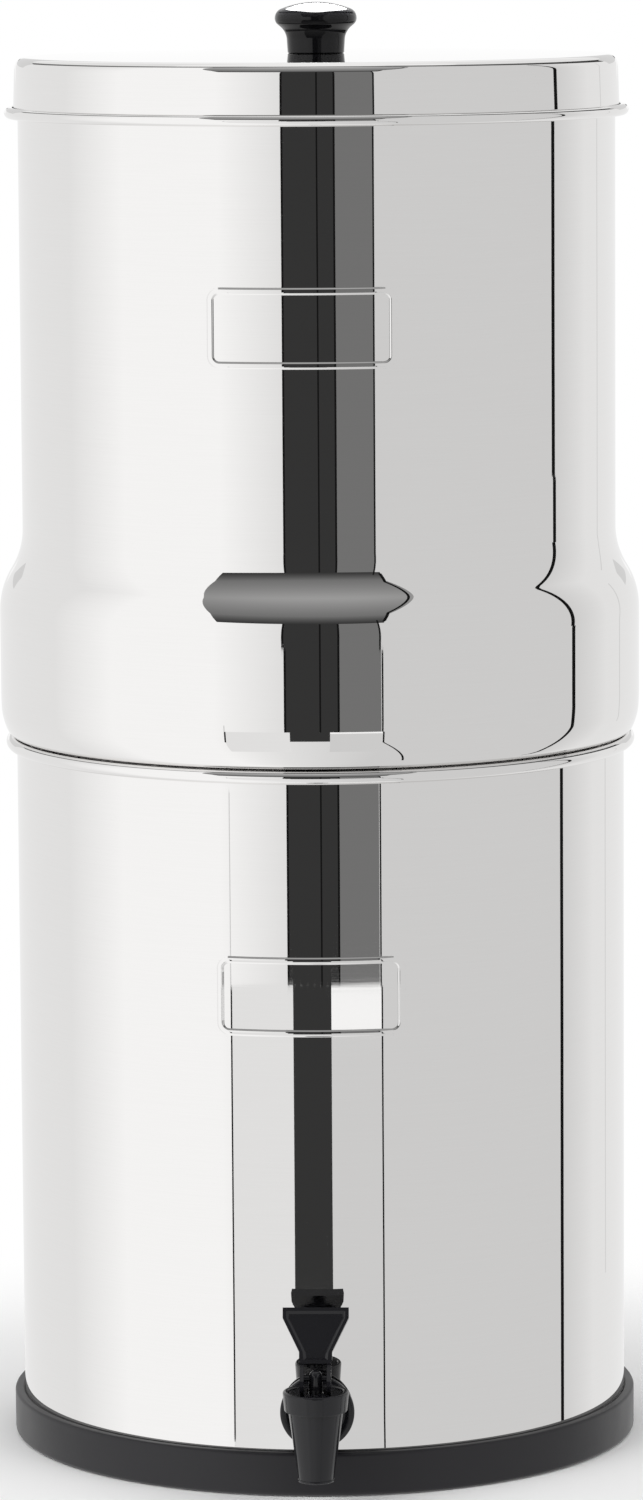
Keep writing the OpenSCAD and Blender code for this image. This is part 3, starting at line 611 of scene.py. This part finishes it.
def round_edges(obj, width):
    """Rounds the piece's sharp edges by a bevel of that width in mm."""
    bevel = obj.modifiers.new("rounded_edges", "BEVEL")
    bevel.width, bevel.segments, bevel.limit_method = width * MM, 3, "ANGLE"
    bevel.angle_limit = math.radians(32)
    bevel.harden_normals = True


def softened(name, node, material, width, body):
    """A merged copy of a CAD node's mesh whose edges are rounded by a bevel of that width in mm."""
    mesh = nodes[node].data.copy()
    mesh.name = name
    shape = bmesh.new()
    shape.from_mesh(mesh)
    bmesh.ops.remove_doubles(shape, verts=shape.verts, dist=1e-6)
    bmesh.ops.dissolve_limit(shape, angle_limit=math.radians(0.5), verts=shape.verts,
                             edges=shape.edges, use_dissolve_boundaries=False)
    shape.to_mesh(mesh)
    shape.free()
    for extra in [a.name for a in mesh.attributes if a.name in ("custom_normal", "sharp_face")]:
        mesh.attributes.remove(mesh.attributes[extra])
    mesh.shade_smooth()
    mesh.materials.clear()
    mesh.materials.append(material)
    obj = bpy.data.objects.new(name, mesh)
    bpy.context.scene.collection.objects.link(obj)
    round_edges(obj, width)
    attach(obj, body)
    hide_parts(node)
    return obj


PIN_Z, LEAN, PADDLE_W, LEVER_LEN, ROOT_W, FORK_W = 51.5, 22.0, 25.2, 27.0, 12.6, 11.8
PADDLE_FRONT, TRAY_DEPTH, LEVER_ROUND = -1.5, 0.9, 0.35


def tray_outline(inset):
    """The paddle's outline in mm, narrower by the inset all round, as (x, along the lever)."""
    half_top, half_root = PADDLE_W / 2 - inset, ROOT_W / 2 - inset
    side = np.array([(FORK_W / 2 - inset, 5.4 + inset), (half_root, 10.0),
                     (half_top, LEVER_LEN - 4), (half_top, LEVER_LEN - inset)])
    return np.vstack((side, side[::-1] * (-1, 1)))


lever = softened("lever", "tap_lever", abs_gloss, LEVER_ROUND, "lever")
rings = [np.insert(tray_outline(inset), 1, y, axis=1)
         for inset, y in ((2.39, PADDLE_FRONT + TRAY_DEPTH + 0.01), (1.0, PADDLE_FRONT - 0.3))]
low = np.arange(8)
sides = np.stack((low, (low + 1) % 8, 8 + (low + 1) % 8, 8 + low), 1).tolist()
tray = make_mesh("cutter_tray", np.vstack(rings), sides + [low[::-1].tolist(), (8 + low).tolist()],
                 abs_gloss)
tray.data.transform(Matrix.Translation((0, TAP_Y * MM, PIN_Z * MM))
                    @ Matrix.Rotation(math.radians(-LEAN), 4, "X"))
lever.modifiers.clear()
cut_holes(lever, [tray])
round_edges(lever, LEVER_ROUND)
softened("shank_nut", "tap_shank_nut", abs_gloss, 0.5, "lower")
for side in ("left", "right"):
    softened(f"wing_nut_{side}_moulded", f"wing_nut_{side}", fitting, 0.5, "upper")
for side in ("front", "back"):
    softened(f"plug_nut_{side}_moulded", f"plug_nut_{side}", fitting, 0.4, "upper")
print("lever:", len(lever.data.vertices), "points before its edges are rounded")

# %% [markdown]
# The seat cup is a silicone bell. Its solid nose holds the stem's head and goes up with it; its
# flange stays clamped under the bonnet. So the nose rides the stem, and the bell stays with the
# bonnet, on a mesh of its own.

# %% Seat cup
CUP_JOIN, STEM_LIFT = 31.7, 3.0     # where the bell leaves the nose; the stem's whole range
nose = turned("seat_cup_nose", [
    (0, 21.8), (3.4, 21.8), (4.7, 22.3), (7.1, 24.7), (7.4, 26.2), (7.4, CUP_JOIN),
    (2.7, CUP_JOIN), (2.7, 29.6), (4.1, 29.6), (4.1, 27.6), (0, 27.6)], silicone, 96, at_tap)
bell = turned("seat_cup_bell", [
    (7.4, CUP_JOIN + 0.01), (7.4, 41.2), (8.2, 42.2), (10.4, 42.2), (10.4, CAP_PLANE),
    (7.0, CAP_PLANE), (6.1, 41.2), (6.1, CUP_JOIN + 0.01)], silicone, 96, at_tap)
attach(nose, "stem")
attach(bell, "lower")
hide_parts("seat_cup")
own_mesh(bell)
print("the bell is", round(CAP_PLANE - CUP_JOIN, 1), "mm high and loses", STEM_LIFT, "mm")

# %% [markdown]
# ## Threaded fittings under the upper chamber
#
# The feet of the carbon elements and the plugs of the two spare holes are mouldings with a
# threaded stem; the thread is a shallow helical groove, as a mould makes it.

# %% Element feet and hole plugs
FLOOR_Z = LEDGE_Z - NECK_H + SHEET
STEM_R = 4.75


def at_hole(angle):
    """Matrix in mm that stands a turned piece in the floor hole at that angle round the axis."""
    return (Matrix.Rotation(math.radians(angle), 4, "Z")
            @ Matrix.Translation((FLOOR_HOLE_AT, 0, FLOOR_Z)))


def stem_line(bottom, top):
    """The threaded stretch of a stem, dense enough to follow the thread."""
    count = int((top - bottom) / 0.13)
    return np.column_stack((np.full(count, STEM_R), np.linspace(bottom, top, count)))


foot_line = section(
    [(2.4, -26), (4.1, -26), (4.4, -25.8)], stem_line(-25.4, 1.6), [(4.7, 1.8), (4.7, 2.5)],
    [(16.6, 2.5), (17.2, 2.6)], straight((17.2, 2.6), (32.6, 6.3), 0.3),
    arc((32.4, 6.9), 0.6, -70, 0, 5), arc((32.4, 10.9), 0.6, 0, 90, 5), [(2.4, 11.5)])
for side, angle in (("left", 180), ("right", 0)):
    foot = turned(f"element_foot_{side}", foot_line, fitting, 128, at_hole(angle),
                  thread=(STEM_R, 0.6, 1.5))
    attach(foot, "upper")
    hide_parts(f"element_cap_{side}")
plug_line = section(
    [(0, -16), (4.1, -16), (4.4, -15.8)], stem_line(-15.4, 1.6), [(4.7, 1.8), (4.7, 2.5)],
    [(12.8, 2.5), (13, 2.7)], straight((13, 2.7), (13, 5.5), 0.3),
    arc((11, 5.5), 2, 0, 90, 7), [(0, 7.5)])
for side, angle in (("front", 270), ("back", 90)):
    plug = turned(f"plug_{side}", plug_line, fitting, 128, at_hole(angle),
                  thread=(STEM_R, 0.6, 1.5))
    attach(plug, "upper")
    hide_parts(f"hole_plug_{side}")
print("feet and plugs stand on the floor at", round(FLOOR_Z, 2), "mm")

# %% [markdown]
# ## Finishes of the CAD nodes
#
# Every node gets its finish, also the ones that a piece above stands in for.

# %% Nodes that keep their shape
kept = {
    rubber: ["tap_outer_washer", "base_ring"],
    brass: ["knob_insert"],
    fastener: ["lid_screw", "lid_screw_washer"],
    carbon: ["element_left", "element_right"],
    fitting: [f"{n}_{s}" for n in ("element_cap", "wing_nut") for s in ("left", "right")]
    + [f"{n}_{s}" for n in ("hole_plug", "plug_nut") for s in ("front", "back")],
    steel: ["lower_chamber", "upper_chamber", "lid"],
    phenolic: ["lid_knob"],
    silicone: [f"element_washer_{s}" for s in ("left", "right")]
    + [f"plug_washer_{s}" for s in ("front", "back")] + ["tap_inner_washer", "seat_cup"],
    abs_gloss: ["tap_body", "tap_shank_nut", "tap_bonnet", "valve_stem", "lever_pin",
                "tap_lever"],
}
for material, names in kept.items():
    for name in names:
        nodes[name].data.materials.clear()
        nodes[name].data.materials.append(material)
print(sum(len(names) for names in kept.values()), "of", len(nodes), "CAD nodes have a finish")

# %% [markdown]
# ## Studio
#
# A long lens, 2.6 m in front of the tap and a little over the lid, tilted down. The whole studio,
# camera and cards, is turned by TURN about the object's axis.

# %% Camera
TURN = Matrix.Rotation(math.radians(1.35), 4, "Z")
camera_data = bpy.data.cameras.new("camera")
camera_data.lens = 156.03
camera_data.sensor_width = 36
camera_data.clip_end = 200
camera = bpy.data.objects.new("camera", camera_data)
camera.matrix_world = (TURN @ Matrix.Translation((0.00039, -2.5647, 0.61095))
                       @ Matrix.Rotation(math.pi / 2 - 0.13091, 4, "X")
                       @ Matrix.Rotation(-0.0066, 4, "Z"))
bpy.context.scene.collection.objects.link(camera)
bpy.context.scene.camera = camera
print("camera at", [round(v, 3) for v in camera.matrix_world.translation])

# %% [markdown]
# ### World
#
# The background is plain white for the camera, in reflections and through clear things. Matt
# surfaces are lit by a light grey sky.

# %% World
world = bpy.data.worlds.new("studio")
bpy.context.scene.world = world
world.use_nodes = True
tree = world.node_tree
tree.nodes.clear()
path = tree.nodes.new("ShaderNodeLightPath")
grey = tree.nodes.new("ShaderNodeBackground")
grey.inputs["Color"].default_value = linear("#F4F4F4")
grey.inputs["Strength"].default_value = 0.85
white = tree.nodes.new("ShaderNodeBackground")
white.inputs["Color"].default_value = (1, 1, 1, 1)
mix = tree.nodes.new("ShaderNodeMixShader")
out = tree.nodes.new("ShaderNodeOutputWorld")
seen = tree.nodes.new("ShaderNodeMath")
seen.operation = "ADD"
seen.use_clamp = True
clear = tree.nodes.new("ShaderNodeMath")
clear.operation = "ADD"
tree.links.new(path.outputs["Is Glossy Ray"], clear.inputs[0])
tree.links.new(path.outputs["Is Transmission Ray"], clear.inputs[1])
tree.links.new(path.outputs["Is Camera Ray"], seen.inputs[0])
tree.links.new(clear.outputs["Value"], seen.inputs[1])
tree.links.new(seen.outputs["Value"], mix.inputs["Fac"])
tree.links.new(grey.outputs["Background"], mix.inputs[1])
tree.links.new(white.outputs["Background"], mix.inputs[2])
tree.links.new(mix.outputs["Shader"], out.inputs["Surface"])
print("world: white where it is seen, light grey where it lights matt surfaces")

# %% [markdown]
# ### Cards round the object
#
# Polished steel has no colour of its own: what it shows is the studio. The studio is a set of
# large cards, so far away that every part of the object sees each card in the same direction. A
# card is four corners given as azimuth (0 towards the camera, + to its right) and elevation, with
# the grey that the steel should show there. Cards are seen only in reflections.

# %% Cards
STEEL_SHARE = 0.80      # of the light that falls on it, polished steel sends back


def smooth_steps(start, end, most):
    """Evenly spaced shares from 0 to 1, close enough for steps of at most this many degrees."""
    return np.linspace(0, 1, max(2, int(math.ceil(abs(end - start) / most)) + 1))


def card(name, azimuth, elevation, grey, distance, lean=(0, 0)):
    """A four-cornered patch of the sphere of directions, at a distance in metres.

    azimuth and elevation are each from, to; lean turns the upper corners further by that many
    degrees; grey is the sRGB grey (0 to 255) of the lower and upper edge, each as from, to.
    """
    across = smooth_steps(*azimuth, 2.5)[None, :]
    up = smooth_steps(*elevation, 2.5)[:, None]
    left, right = azimuth[0] + lean[0] * up, azimuth[1] + lean[1] * up
    a = np.radians(left + (right - left) * across - 90)
    e = np.radians(elevation[0] + (elevation[1] - elevation[0]) * up + 0 * across)
    points = distance * np.stack((np.cos(e) * np.cos(a), np.cos(e) * np.sin(a), np.sin(e)), 2)
    (g00, g01), (g10, g11) = grey
    tone = (g00 + (g01 - g00) * across) * (1 - up) + (g10 + (g11 - g10) * across) * up
    return lit_patch(name, points, tone)


def lit_patch(name, points, tone):
    """A card from rows of points and the sRGB grey (0 to 255) that steel shows of each."""
    tone = tone / 255
    light = np.where(tone <= 0.04045, tone / 12.92, ((tone + 0.055) / 1.055) ** 2.4) / STEEL_SHARE
    rows, columns = light.shape
    i, j = np.meshgrid(np.arange(rows - 1), np.arange(columns - 1), indexing="ij")
    first = i * columns + j
    faces = np.stack((first, first + 1, first + columns + 1, first + columns), 2).reshape(-1, 4)
    mesh = bpy.data.meshes.new("card_" + name)
    mesh.from_pydata(points.reshape(-1, 3).tolist(), [], faces.tolist())
    mesh.transform(TURN)
    mesh.attributes.new("light", "FLOAT", "POINT").data.foreach_set(
        "value", light.ravel().astype(np.float32))
    mesh.materials.append(card_light)
    obj = bpy.data.objects.new("card_" + name, mesh)
    bpy.context.scene.collection.objects.link(obj)
    for ray in ("camera", "diffuse", "shadow", "transmission", "volume_scatter"):
        setattr(obj, "visible_" + ray, False)
    return obj


def arch(name, low, high, grey, distance):
    """A hoop over the studio, from behind on the left, over the top, to behind on the right.

    It lies where a corner of the object, whose outward normal rises by a tilt between low and
    high, sends a level line of sight: v - 2 (v.n) n for every turn of the normal round the axis.
    low, high (degrees) and grey are each given at the left end, in the middle and at the right.
    """
    turn = np.linspace(-86, 86, 87)[None, :]
    low, high, grey = (np.interp(turn, (-70, 0, 70), values) for values in (low, high, grey))
    rise = np.radians(low + (high - low) * np.linspace(0, 1, 6)[:, None])
    facing = np.cos(rise) * np.cos(np.radians(turn))
    points = distance * np.stack((2 * facing * np.cos(rise) * np.sin(np.radians(turn)),
                                  1 - 2 * facing ** 2, 2 * facing * np.sin(rise)), 2)
    return lit_patch(name, points, grey + 0 * rise)


card_light = bpy.data.materials.new("card_light")
card_light.use_nodes = True
tree = card_light.node_tree
tree.nodes.clear()
read = tree.nodes.new("ShaderNodeAttribute")
read.attribute_name = "light"
glow = tree.nodes.new("ShaderNodeEmission")
out = tree.nodes.new("ShaderNodeOutputMaterial")
tree.links.new(read.outputs["Fac"], glow.inputs["Strength"])
tree.links.new(glow.outputs["Emission"], out.inputs["Surface"])


def flat(a, b=None):
    """The same grey, or the same run from a to b, along both edges of a card."""
    return ((a, a if b is None else b),) * 2


# The greys of the studio, by what each surface is: white cloth that is lit, plain or in shade,
# silver and grey cloth, the dark doorway, and black edges and seams.
LIT, WHITE, SHADE, SILVER, GREY, DARK, BLACK = 240, 220, 200, 160, 110, 50, 20

# A white tent, lit from the left: azimuth and tone of each place where its wall changes. The tone
# runs evenly from one place to the next.
TENT = [(-180, WHITE), (-165, WHITE), (-110, WHITE), (-80, LIT), (-38, LIT), (-14, WHITE),
        (22, SHADE), (101, SHADE), (125, WHITE), (165, WHITE), (180, WHITE)]
for k, ((start, tone), (stop, next_tone)) in enumerate(zip(TENT, TENT[1:])):
    top = -0.6 if abs(start + stop) > 330 else 62      # open behind the object above eye level
    card(f"wall_{k}", (start, stop), (-75, top), flat(tone, next_tone), 50)
# The open front of the tent: a dark doorway with a post in the middle and a black edge on each
# side. High up, where the upper chamber's wall sees it, its left edge stands further out.
card("door", (-12.8, 6.85), (-9.3, 21), flat(DARK), 48)
for k, (low, high, edge, seam) in enumerate(((-9.3, -6.2, -12.8, 22.1), (-6.2, 21, -13.6, 21.2))):
    card(f"door_edge_{k}", (edge, edge + 0.8), (low, high), flat(BLACK), 47)
    card(f"seam_front_{k}", (seam - 0.3, seam + 0.3), (low, high + 3 * k), flat(BLACK), 45)
card("door_post", (-0.3, 0.3), (-9.3, 21), flat(BLACK), 47)
card("door_edge_right", (6.1, 6.85), (-9.3, 21), flat(BLACK), 47)
card("door_side", (6.85, 21.6), (-9.3, 24), flat(GREY), 48.5)
card("door_low", (-10.8, 3.4), (-12.3, -9.3), flat(DARK), 48)
card("low_front", (3.4, 22.4), (-30, -9.3), flat(SHADE), 49)
card("low_lip", (3.4, 22.4), (-9.75, -9.3), flat(LIT), 47)
card("low_left", (-34.2, -10.8), (-30, -9.3), flat(WHITE), 49)
# Cloth over the doorway, dark at its foot and silver at the top, and the roof above it.
card("cloth_low", (-38, 23.5), (20, 31), ((DARK, DARK), (GREY, GREY)), 46, lean=(-5, 2.5))
card("cloth_high", (-43, 26), (31, 62), ((GREY, GREY), (SILVER, SILVER)), 46, lean=(-22, 30))
card("roof", (-90, 90), (62, 76), ((SILVER, SILVER), (SHADE, SHADE)), 49)
# Seams of the tent: thin dark lines. Below eye level the front one runs out over the ground.
card("seam_front_low", (22.2, 22.8), (-13.3, -9.3), flat(BLACK), 45)
card("seam_front_ground", (37.2, 38.2), (-49, -13.3), flat(BLACK), 45, lean=(-15, -15.4))
card("seam_cloth", (23.0, 24.3), (22, 34), flat(BLACK), 45, lean=(3.5, 3.5))
card("seam_cloth_high", (26.5, 28.0), (34, 56), flat(BLACK), 45, lean=(20, 20))
card("seam_left", (-34.5, -33.9), (-13.5, -9.3), flat(BLACK), 45)
card("seam_left_faint", (-34.6, -34.2), (-9.3, -7.5), flat(SHADE), 45)
card("seam_right_low", (102.1, 104.0), (-45, -4.6), flat(BLACK), 45)
card("seam_right", (101.4, 103.4), (-4.6, 36), flat(BLACK), 45)
card("seam_back", (136.6, 137.4), (-12, 14), flat(SHADE), 45)
# The hoop that carries the white back of the tent, thickest on the right.
arch("hoop", (31, 37, 25), (40, 41.5, 37), (GREY, GREY, DARK), 44)
# The cloth at the back is a shade darker than the white behind it: the lid's and the knob's upper
# edges stand out by it.
card("back_shade", (150, 210), (5, 19), flat(SHADE), 42)

# %% [markdown]
# ### Floor
#
# A sheet of matt paper that fades into the white background beyond the object's soft shadow.

# %% Floor
floor_mesh = bpy.data.meshes.new("floor")
floor_mesh.from_pydata([(-4, -4, -0.0002), (4, -4, -0.0002), (4, 4, -0.0002), (-4, 4, -0.0002)],
                       [], [(0, 1, 2, 3)])
floor_paper, add, shader = new_material("floor_paper")
set_shader(shader, Roughness=0.9, Specular_IOR_Level=0.0)
shader.inputs["Base Color"].default_value = linear("#F2F2F2")
place = add("TexCoord")
out_there = add("VectorMath", operation="LENGTH", links={0: place.outputs["Object"]})
fade = add("MapRange", {"From Min": 0.13, "From Max": 0.36}, {"Value": out_there.outputs["Value"]},
           interpolation_type="SMOOTHSTEP")
glow = add("Emission", {"Color": (1, 1, 1, 1), "Strength": 1.0})
both = add("MixShader", links={0: fade.outputs["Result"], 1: shader.outputs["BSDF"],
                               2: glow.outputs["Emission"]})
surface = [n for n in floor_paper.node_tree.nodes if n.type == "OUTPUT_MATERIAL"][0]
floor_paper.node_tree.links.new(both.outputs["Shader"], surface.inputs["Surface"])
floor_mesh.materials.append(floor_paper)
floor = bpy.data.objects.new("floor", floor_mesh)
bpy.context.scene.collection.objects.link(floor)
floor.visible_glossy = False
floor.visible_diffuse = False
print("floor: fades from 130 to 360 mm from the axis")

# %% [markdown]
# ### Lamps
#
# Two large soft lamps in front give the black parts their shape; reflections don't show them.
# A third, long and soft, hangs over the back, from 20 degrees up behind the object to a little
# past the zenith. Black gloss sends back so little of it that it has to be far brighter than
# paper, so it lights the knob alone: steel would only glare.

# %% Lamps


def lamp(name, place, size, power, target=(0, 0, 0.28)):
    """A square area lamp at a place in metres, turned to a target, here the object's middle."""
    data = bpy.data.lights.new(name, "AREA")
    data.size, data.energy = size, power
    obj = bpy.data.objects.new(name, data)
    away = Vector(place) - Vector(target)
    obj.matrix_world = Matrix.Translation(place) @ away.to_track_quat("Z", "Y").to_matrix().to_4x4()
    bpy.context.scene.collection.objects.link(obj)
    obj.visible_glossy = False
    return obj


lamp("lamp_left", (-1.6, -1.6, 1.8), 1.4, 24)
lamp("lamp_right", (1.8, -1.2, 1.6), 1.4, 14)
KNOB_MIDDLE, BACK_RISE, BACK_AWAY = (0, 0, 0.56), math.radians(62.5), 2.0
over_back = np.array([0, math.cos(BACK_RISE), math.sin(BACK_RISE)])
back = lamp("lamp_back", over_back * BACK_AWAY + KNOB_MIDDLE, 1.65, 600, KNOB_MIDDLE)
back.data.shape, back.data.size_y = "ELLIPSE", 3.63
back.visible_camera, back.visible_glossy = False, True
lit_alone = bpy.data.collections.new("lit_by_lamp_back")
lit_alone.objects.link(knob)
back.light_linking.receiver_collection = lit_alone
bpy.context.scene.view_settings.view_transform = "Standard"
print(len(bpy.data.lights), "lamps")

# %% [markdown]
# ## Last update
#
# The view layer is brought up to date. The dressed part has to stay inside the box of
# the CAD model.

# %% Update the view layer
bpy.context.view_layer.update()
